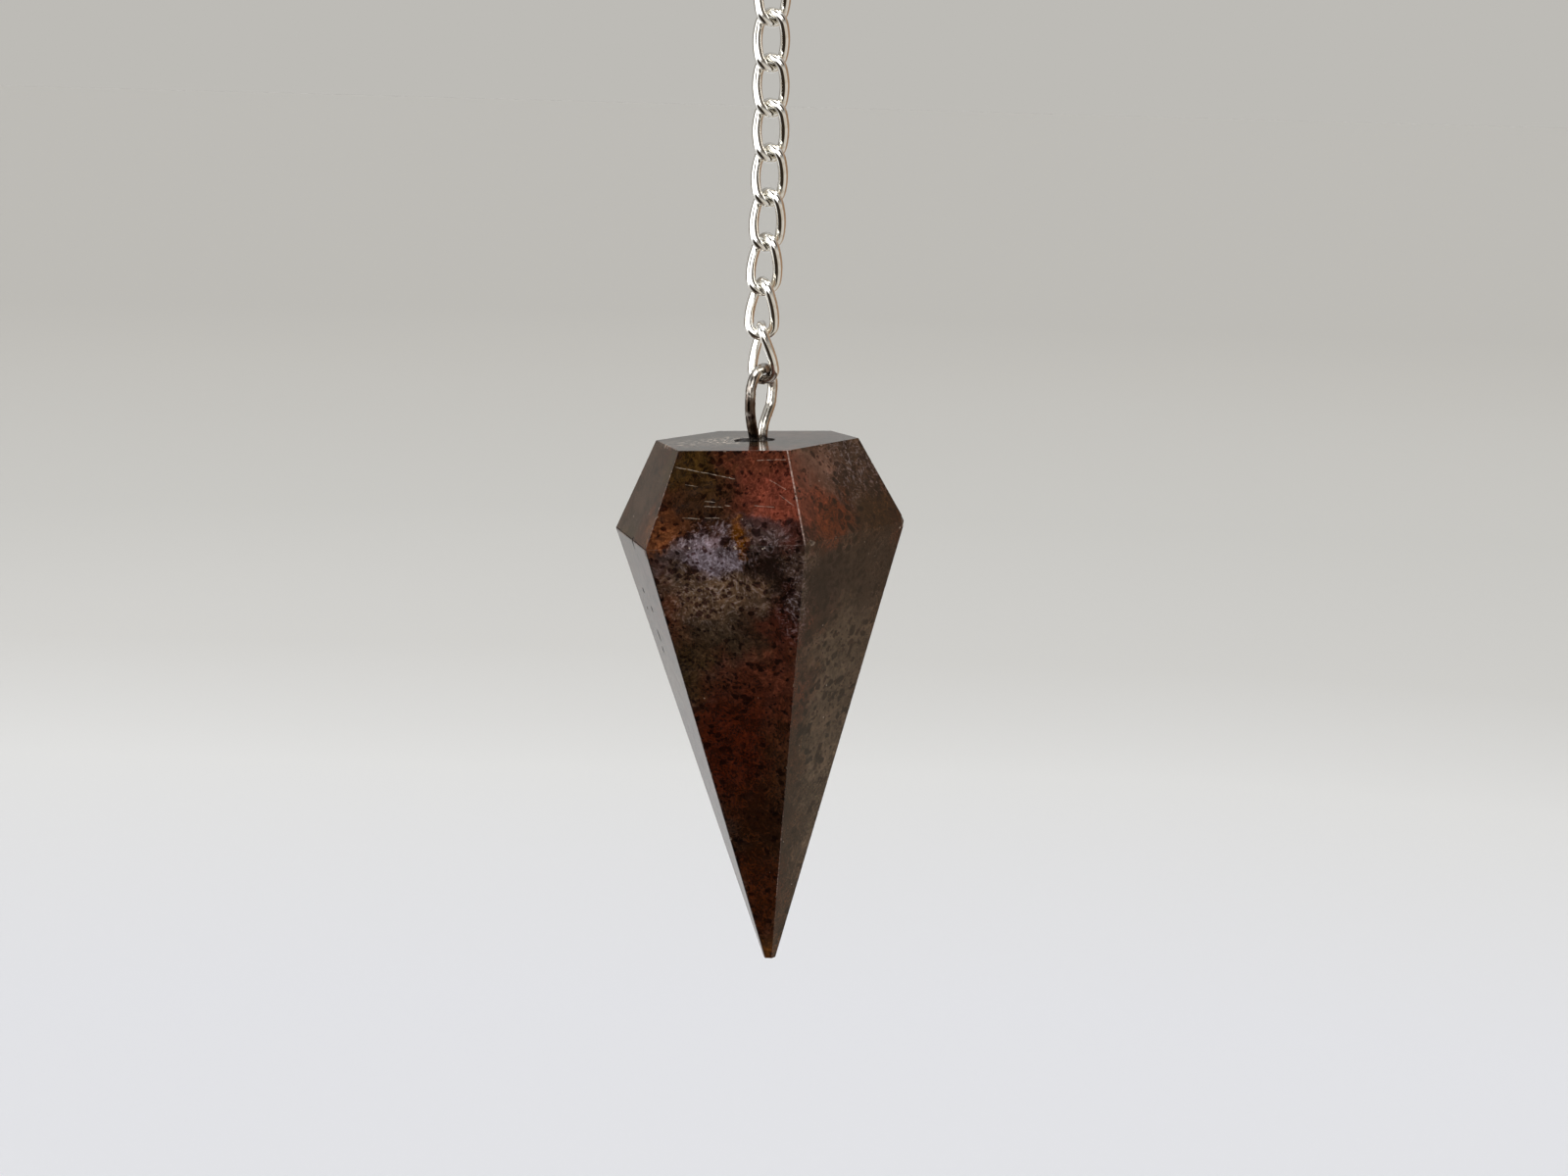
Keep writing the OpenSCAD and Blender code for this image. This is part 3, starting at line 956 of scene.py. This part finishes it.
# where the table is scuffed whitish round the hole: place, size, strength
SCUFFED = [
    ((-2.0, 0.2, 0), (1.9, 2.6, 0.3), 0.85),
    ((-5.0, -1.2, 0), (1.8, 2.4, 0.3), 0.45),
]
# small dark pits on the left pavilion facet: place, size
PITS = [
    ((-8.29, -0.61, -10.47), (0.16, 0.22, 0.20)),
    ((-8.10, 0.33, -11.91), (0.14, 0.16, 0.12)),
    ((-7.66, -1.81, -11.65), (0.16, 0.20, 0.26)),
    ((-7.27, -1.02, -13.64), (0.20, 0.18, 0.62)),
    ((-7.05, -0.60, -14.80), (0.14, 0.16, 0.30)),
]
# most rubbed edges, first that between the front and right crown facets: place, size, least and greatest wear
RUBBED = [
    ((2.6, -8.8, -3.1), (2.2, 4.0, 3.6), 0.35, 0.95),
    ((0.7, -3.0, -29.0), (1.3, 2.0, 4.5), 0.15, 0.6),
    ((-6.4, -6.7, -3.3), (1.4, 2.2, 3.6), 0.1, 0.6),
    ((-9.2, -2.0, -6.4), (2.0, 4.0, 1.2), 0.1, 0.6),
    ((-6.5, -2.6, -0.2), (1.6, 3.6, 0.6), 0.1, 0.5),
    ((-4.2, -4.2, -20.0), (3.2, 3.4, 14.0), 0.2, 0.5),
]
# where the broken stone is painted dark as shade, the bore first, then a chip: place, size
BROKEN_PAINTED_SHADE = [
    ((0, 0, -2), (3.2, 3.2, 4)),
    ((-9.0, -3.3, -6.8), (0.8, 1.0, 1.6)),
]
STONE_IOR = 1.54


def fibre_layer(net, colour, place, fine, ragged):
    """Pale fibres in tufts over the colour, strongest in the lavender patch."""
    tufts = net.most([net.fibres(ragged, 1.1, 6.5, (0, 0, 0)), net.fibres(ragged, 0.8, 5.0, (5.3, 2.1, 7.7))])
    shown = 1.0
    for *where, taken in CALM:
        shown = net.math("SUBTRACT", shown, net.times(net.patch(place, *where, 0.2), taken), True)
    colour = net.tint(colour, net.ramp(tufts, TUFTS), shown)
    pale = net.most([net.times(net.patch(fine, *where, 0.7), strength) for *where, strength in FIBRES])
    return net.mix(net.times(pale, net.span(tufts, 0.56, 0.70)), colour, srgb(170, 160, 166))


def speck_layer(net, colour, place, wide, near, ragged):
    """Dark specks over the colour: soft ones in the right facets, and sharp ones of three sizes in clouds."""
    spots = net.most([net.patch(near, *where, 0.7) for where in SPOTS])
    soft = net.specks(ragged, *SOFT_SPECKS, net.patch(place, *SOFTLY_SPECKLED, 0.2), 0.10)
    shadow = net.most([net.times(spots, 0.75), net.times(soft, 0.95)])
    colour = net.mix(shadow, colour, net.tint(colour, (0.14, 0.12, 0.13, 1)))
    clouds = [net.span(net.noise(wide, 0.55, 3, 0.6), 0.38, 0.58, 0.4, 1.1)]
    clouds += [net.times(net.patch(near, *where, 0.5), more) for *where, more in SPECKLED]
    cloud = net.most(clouds)
    specks = net.most([net.specks(ragged, *sizes, cloud, 0.05) for sizes in SPECKS])
    return net.mix(net.times(specks, 0.92), colour, net.tint(colour, (0.22, 0.12, 0.11, 1)))


def pale_marks(net, place, shaky):
    """1 where pale dust, scratches and scuffs lie on the polish, 0 elsewhere."""
    dusted = net.patch(place, *GIRDLE_DUSTED, 0.3)
    dust = net.most([net.dust(place, *DUST), net.times(net.dust(place, *GIRDLE_DUST), dusted)])
    table, girdle, _ = stone_corners()
    front = np.cross(girdle[4] - girdle[3], table[3] - girdle[3])
    front /= np.linalg.norm(front)
    lines = []
    for rows, point, normal in ((SCRATCHES, girdle[3], front), (SCUFFS, table[0], np.array([0.0, 0.0, 1.0]))):
        flat, close = net.flatten(shaky, point, normal)
        for a, b, width, strength in rows:
            a, b = [tuple(np.array(end) - np.dot(np.array(end) - point, normal) * normal) for end in (a, b)]
            lines.append(net.times(net.streak(flat, a, b, width), net.times(close, strength)))
    broken = net.span(net.noise(place, 3.5, 4, 0.7), 0.36, 0.60, 0.15, 1.0)
    scuffs = net.span(net.noise(net.vec("MULTIPLY", shaky, (1.0, 0.6, 0.0)), 2.2, 5, 0.75), 0.50, 0.58)
    scuffed = net.most([net.times(net.patch(place, *where), strength) for *where, strength in SCUFFED])
    return net.most([net.times(dust, 0.7), net.times(net.most(lines), broken), net.times(scuffs, scuffed)])


def stone_group():
    """Colour, pits and height of the stone, by place in its own frame."""
    tree = bpy.data.node_groups.new("stone_colour", "ShaderNodeTree")
    net = Net(tree)
    place = net.place()
    wide = net.vec("ADD", place, net.wander(place, 0.42, 2, 3.4))
    near = net.vec("ADD", wide, net.wander(place, 1.9, 3, 1.7))
    fine = net.vec("ADD", near, net.wander(place, 7, 2, 0.35))
    ragged = net.vec("ADD", place, net.wander(place, 4, 3, 0.22))
    shaky = net.vec("ADD", place, net.wander(place, 1.5, 2, 0.12))
    colour = net.ramp(net.noise(near, 0.2), [(at, srgb(*tint)) for at, tint in BODY])
    for *where, tint, strength in PATCHES:
        colour = net.mix(net.times(net.patch(fine, *where, 0.6), strength), colour, srgb(*tint))
    colour = net.tint(colour, net.ramp(net.noise(near, 0.9, 5, 0.62), CLOUDS))
    colour = fibre_layer(net, colour, place, fine, ragged)
    colour = speck_layer(net, colour, place, wide, near, ragged)
    marks = pale_marks(net, place, shaky)
    colour = net.mix(marks, colour, srgb(214, 196, 178))
    pits = net.most([net.patch(shaky, *where, 0.3) for where in PITS])
    colour = net.mix(pits, colour, srgb(14, 9, 7))
    height = net.minus(net.noise(place, 0.5), net.times(marks, 0.3))
    for name, kind in (("Color", "Color"), ("Pits", "Float"), ("Height", "Float")):
        tree.interface.new_socket(name, in_out="OUTPUT", socket_type="NodeSocket" + kind)
    net.feed(tree.nodes.new("NodeGroupOutput"), {"Color": colour, "Pits": pits, "Height": height})
    return tree


def stone_net(name, group):
    """A new material, its net and shader, and the stone's colour, pits and height."""
    material, net, shader = new_material(name)
    node = net.tree.nodes.new("ShaderNodeGroup")
    node.node_tree = group
    return material, net, shader, *node.outputs


def polished_material(group):
    material, net, shader, colour, pits, height = stone_net("stone_polished", group)
    rough = net.span(net.noise(net.place(), 1.2, 4, 0.6), 0.35, 0.7, 0.07, 0.16)
    net.feed(shader, {"Base Color": colour, "Roughness": net.most([rough, pits]), "IOR": STONE_IOR,
                      "Normal": net.bump(0.15, 0.03, height)})
    return material


def worn_material(group):
    """The rounded edges, paler and duller where they are rubbed."""
    material, net, shader, colour, _, _ = stone_net("stone_worn", group)
    place = net.place()
    dots = net.span(net.noise(place, 4.5, 3, 0.6), 0.50, 0.62)
    amounts = [net.times(dots, 0.12)]
    for *where, least, most in RUBBED:
        wear = net.span(dots, 0, 1, least, most, False)
        amounts.append(net.times(net.patch(place, *where, 0.15), wear))
    amount = net.most(amounts)
    colour = net.mix(amount, colour, srgb(190, 160, 146))
    net.feed(shader, {"Base Color": colour, "Roughness": net.span(amount, 0, 1, 0.16, 0.5), "IOR": STONE_IOR})
    return material


def broken_material(group):
    """The bore and the chips, gritty and dull, with painted shade in the bore and in one chip."""
    material, net, shader, colour, _, _ = stone_net("stone_broken", group)
    place = net.place()
    grit = net.noise(place, 7, 5, 0.7)
    colour = net.mix(net.span(grit, 0.35, 0.7, 0.15, 0.7), colour, srgb(150, 128, 104))
    # painted shade: the bore's mouth and one chip darkened
    for where in BROKEN_PAINTED_SHADE:
        colour = net.mix(net.patch(place, *where, 0.1), colour, srgb(26, 17, 12))
    bump = net.bump(0.6, 0.1, grit)
    net.feed(shader, {"Base Color": colour, "Roughness": 0.55, "IOR": STONE_IOR, "Normal": bump})
    return material


def edge_painted_shade_material(group):
    """Painted shade on rounded edges: the stone's colour darkened and made to mirror little, with faint pale
    dots.
    """
    material, net, shader, colour, _, _ = stone_net("stone_edge_painted_shade", group)
    dots = net.span(net.noise(net.place(), 3.5, 3, 0.6), 0.56, 0.66)
    # the painted shade: the stone's colour darkened
    colour = net.tint(colour, (0.22, 0.17, 0.15, 1))
    colour = net.mix(net.times(dots, 0.35), colour, srgb(150, 128, 110))
    net.feed(shader, {"Base Color": colour, "Roughness": 0.5, "IOR": 1.2})
    return material


def stone_materials():
    """The stone's materials in the order of its slots."""
    group = stone_group()
    return [polished_material(group), worn_material(group), broken_material(group), edge_painted_shade_material(group)]


# Metal and resin
# where the eye is painted dark, as shade and dark reflections: place in the stone's frame, size, strength
EYE_PAINTED_SHADE = [
    ((-0.20, -1.15, 2.0), (0.85, 0.85, 2.8), 0.93),
    ((0.75, 0.2, 4.9), (0.9, 0.9, 0.7), 0.75),
    ((0.6, 0.7, 0.3), (0.8, 0.8, 0.7), 0.5),
]


def metal_material(name, pale, dull, rough, dent, painted_shade=()):
    """Drawn and plated wire: smeared between two colours, with fine lines, soft dents and, where given,
    painted shade.
    """
    material, net, shader = new_material(name)
    place = net.place()
    smear = net.noise(place, 1.6, 4, 0.6)
    colour = net.mix(net.span(smear, 0.45, 0.72), pale, dull)
    # painted shade: the wire darkened where it shows shade and dark reflections
    for *where, strength in painted_shade:
        shade_mask = net.times(net.patch(place, *where, 0.3), net.span(smear, 0.36, 0.50, 0.55, 1.0))
        colour = net.mix(net.times(shade_mask, strength), colour, srgb(74, 56, 44))
    lines = net.noise(net.vec("MULTIPLY", place, (1.0, 1.0, 0.25)), 9, 3, 0.6)
    height = net.math("ADD", net.times(net.noise(place, 1.1), 0.6), net.times(lines, 0.10))
    net.feed(shader, {"Base Color": colour, "Metallic": 1.0, "Normal": net.bump(dent, 0.1, height),
                      "Roughness": net.span(net.noise(place, 3.1, 4, 0.65), 0.35, 0.7, *rough)})
    return material


def resin_material():
    material, net, shader = new_material("resin_dark")
    place = net.place()
    colour = net.mix(net.span(net.noise(place, 2.2, 4, 0.6), 0.4, 0.7), srgb(16, 11, 9), srgb(58, 38, 26))
    lumps = net.bump(0.4, 0.1, net.noise(place, 3.0, 4, 0.6))
    net.feed(shader, {"Base Color": colour, "Roughness": 0.22, "Normal": lumps})
    return material


# Floor and surroundings, in metres
FLOOR_Z = -0.25
FLOOR_RINGS = (0.3, 1, 3, 10, 60)
# the floor's colours from below the object outwards, paler near it as a painted pool of light: share of the
# way, colour
FLOOR_NEAR, FLOOR_FAR = 0.8, 4.2
FLOOR_PAINTED_LIGHT = [
    (0.0, (231, 232, 236)),
    (0.09, (232, 232, 231)),
    (0.16, (218, 217, 214)),
    (0.30, (208, 207, 203)),
    (0.60, (200, 198, 193)),
    (0.78, (196, 194, 189)),
]
# a faint wide shadow to the right, behind the object: place, size, strength
FLOOR_SHADE = ((0.42, 1.15, FLOOR_Z), (0.42, 0.36, 1), 0.22)
SKY_SEEN = srgb(189, 187, 182)
# the sky that lights and is mirrored, by height from straight down, at 0, to straight up, at 1
SKY_LIGHT = [
    (0.0, (0.45, 0.45, 0.46, 1)),
    (0.32, (0.80, 0.80, 0.80, 1)),
    (0.46, (0.62, 0.62, 0.61, 1)),
    (0.5, (0.38, 0.375, 0.36, 1)),
    (0.62, (0.36, 0.36, 0.35, 1)),
    (1.0, (0.6, 0.6, 0.6, 1)),
]
# patches of the surroundings: azimuth, elevation, half width and softness in degrees, brightness
# Matt surfaces are lit by the first list. Polished ones mirror the second: warm things to the right,
# windows in front and to the left, a lamp overhead, and darker things between them.
LIT_BY = [
    (105, -5, 50, 25, (0.22, 0.21, 0.20)),
    (-145, 8, 22, 14, (0.24, 0.235, 0.23)),
    (-10, 0, 58, 18, (0.06, 0.05, 0.045)),
    (-84, 38, 18, 8, (3.2, 3.2, 3.2)),
    (20, 84, 20, 8, (3.2, 3.2, 3.2)),
]
MIRRORED = [
    (114, -2, 38, 16, (0.34, 0.225, 0.145)),
    (116, -42, 18.5, 3, (0.41, 0.335, 0.255)),
    (-145, 8, 22, 14, (0.23, 0.205, 0.175)),
    (-72, 8, 26, 10, (2.6, 2.6, 2.6)),
    (-20, 16, 26, 9, (2.8, 2.8, 2.8)),
    (8, 22, 18, 8, (2.8, 2.8, 2.8)),
    (50, 36, 22, 7, (0.06, 0.045, 0.03)),
    (16, -2, 17, 7, (0.05, 0.035, 0.025)),
    (28, -30, 30, 12, (0.60, 0.56, 0.50)),
    (-38, -41, 38, 8, (0.03, 0.022, 0.015)),
    (-40, 43, 13, 6, (0.03, 0.022, 0.015)),
    (20, 84, 22, 8, (4.0, 4.0, 4.0)),
]


def make_floor():
    verts = [(0, 0, FLOOR_Z)]
    faces = [(0, 1 + j, 1 + (j + 1) % FLOOR_SIDES) for j in range(FLOOR_SIDES)]
    for radius in FLOOR_RINGS:
        verts += circle(radius, FLOOR_SIDES, FLOOR_Z)
    for i in range(len(FLOOR_RINGS) - 1):
        faces += band(1 + i * FLOOR_SIDES, 1 + (i + 1) * FLOOR_SIDES, FLOOR_SIDES)
    material, net, shader = new_material("floor_pale")
    floor = new_object("floor", verts, faces, material, smooth=False)
    place = net.add("ShaderNodeTexCoord", out="Object")
    # painted light: the floor paler below the object and darker farther out
    drift = net.math("ADD", net.length(place), net.times(net.noise(place, 0.9), 0.4))
    way_out = net.span(drift, FLOOR_NEAR, FLOOR_FAR, smooth=False)
    colour = net.ramp(way_out, [(at, srgb(*tint)) for at, tint in FLOOR_PAINTED_LIGHT])
    *where, strength = FLOOR_SHADE
    colour = net.mix(net.times(net.patch(place, *where, 0.9), strength), colour, srgb(196, 195, 191))
    net.feed(shader, {"Base Color": colour, "Roughness": 0.9, "Specular IOR Level": 0.0})
    floor.visible_glossy = False


def surroundings(net, way, sky, patches):
    """The sky with soft round patches of brightness over it."""
    for azimuth, elevation, half, soft, colour in patches:
        off = net.dot(way, tuple(direction(azimuth, elevation)))
        sky = net.mix(net.span(off, cos(half + soft), cos(max(0, half - soft))), sky, (*colour, 1))
    return sky


def make_surroundings():
    """One world for matt surfaces, one for polished ones, and a plain sky for the camera."""
    world = bpy.data.worlds.new("studio")
    bpy.context.scene.world = world
    world.use_nodes = True
    tree = world.node_tree
    tree.nodes.clear()
    net = Net(tree)
    way = net.add("ShaderNodeTexCoord", out="Generated")
    height = net.add("ShaderNodeSeparateXYZ", (way,), out="Z")
    sky = net.ramp(net.span(height, -1.0, 1.0, smooth=False), SKY_LIGHT)
    rays = tree.nodes.new("ShaderNodeLightPath").outputs
    lit_by = surroundings(net, way, sky, LIT_BY)
    mirrored = surroundings(net, way, sky, MIRRORED)
    colour = net.mix(rays["Is Camera Ray"], net.mix(rays["Is Glossy Ray"], lit_by, mirrored), SKY_SEEN)
    back = net.add("ShaderNodeBackground", (colour, 1.0))
    tree.links.new(back, tree.nodes.new("ShaderNodeOutputWorld").inputs[0])


def make_softbox():
    """One soft light overhead, a little to the right of the front."""
    data = bpy.data.lights.new("overhead", "AREA")
    data.size = 0.3
    data.energy = 0.5
    light = bpy.data.objects.new("overhead", data)
    middle = Vector((0, 0, -0.04))
    way = direction(20, 78)
    distance = 0.7
    light.location = middle + way * distance
    light.rotation_euler = way.to_track_quat("Z", "Y").to_euler()
    light.visible_camera = False
    bpy.context.scene.collection.objects.link(light)


# The whole
silver = metal_material("silver_plate", srgb(248, 246, 240), srgb(226, 219, 206), (0.07, 0.15), 0.12)
nickel = metal_material("eye_metal", srgb(222, 217, 208), srgb(168, 158, 146), (0.08, 0.20), 0.5, EYE_PAINTED_SHADE)
make_camera()
make_stone(stone_materials())
make_resin(resin_material())
make_eye(nickel)
for number in range(len(LINKS)):
    make_link(number, silver)
make_ring(silver)
make_floor()
make_surroundings()
make_softbox()

bpy.context.scene.view_settings.view_transform = "Standard"
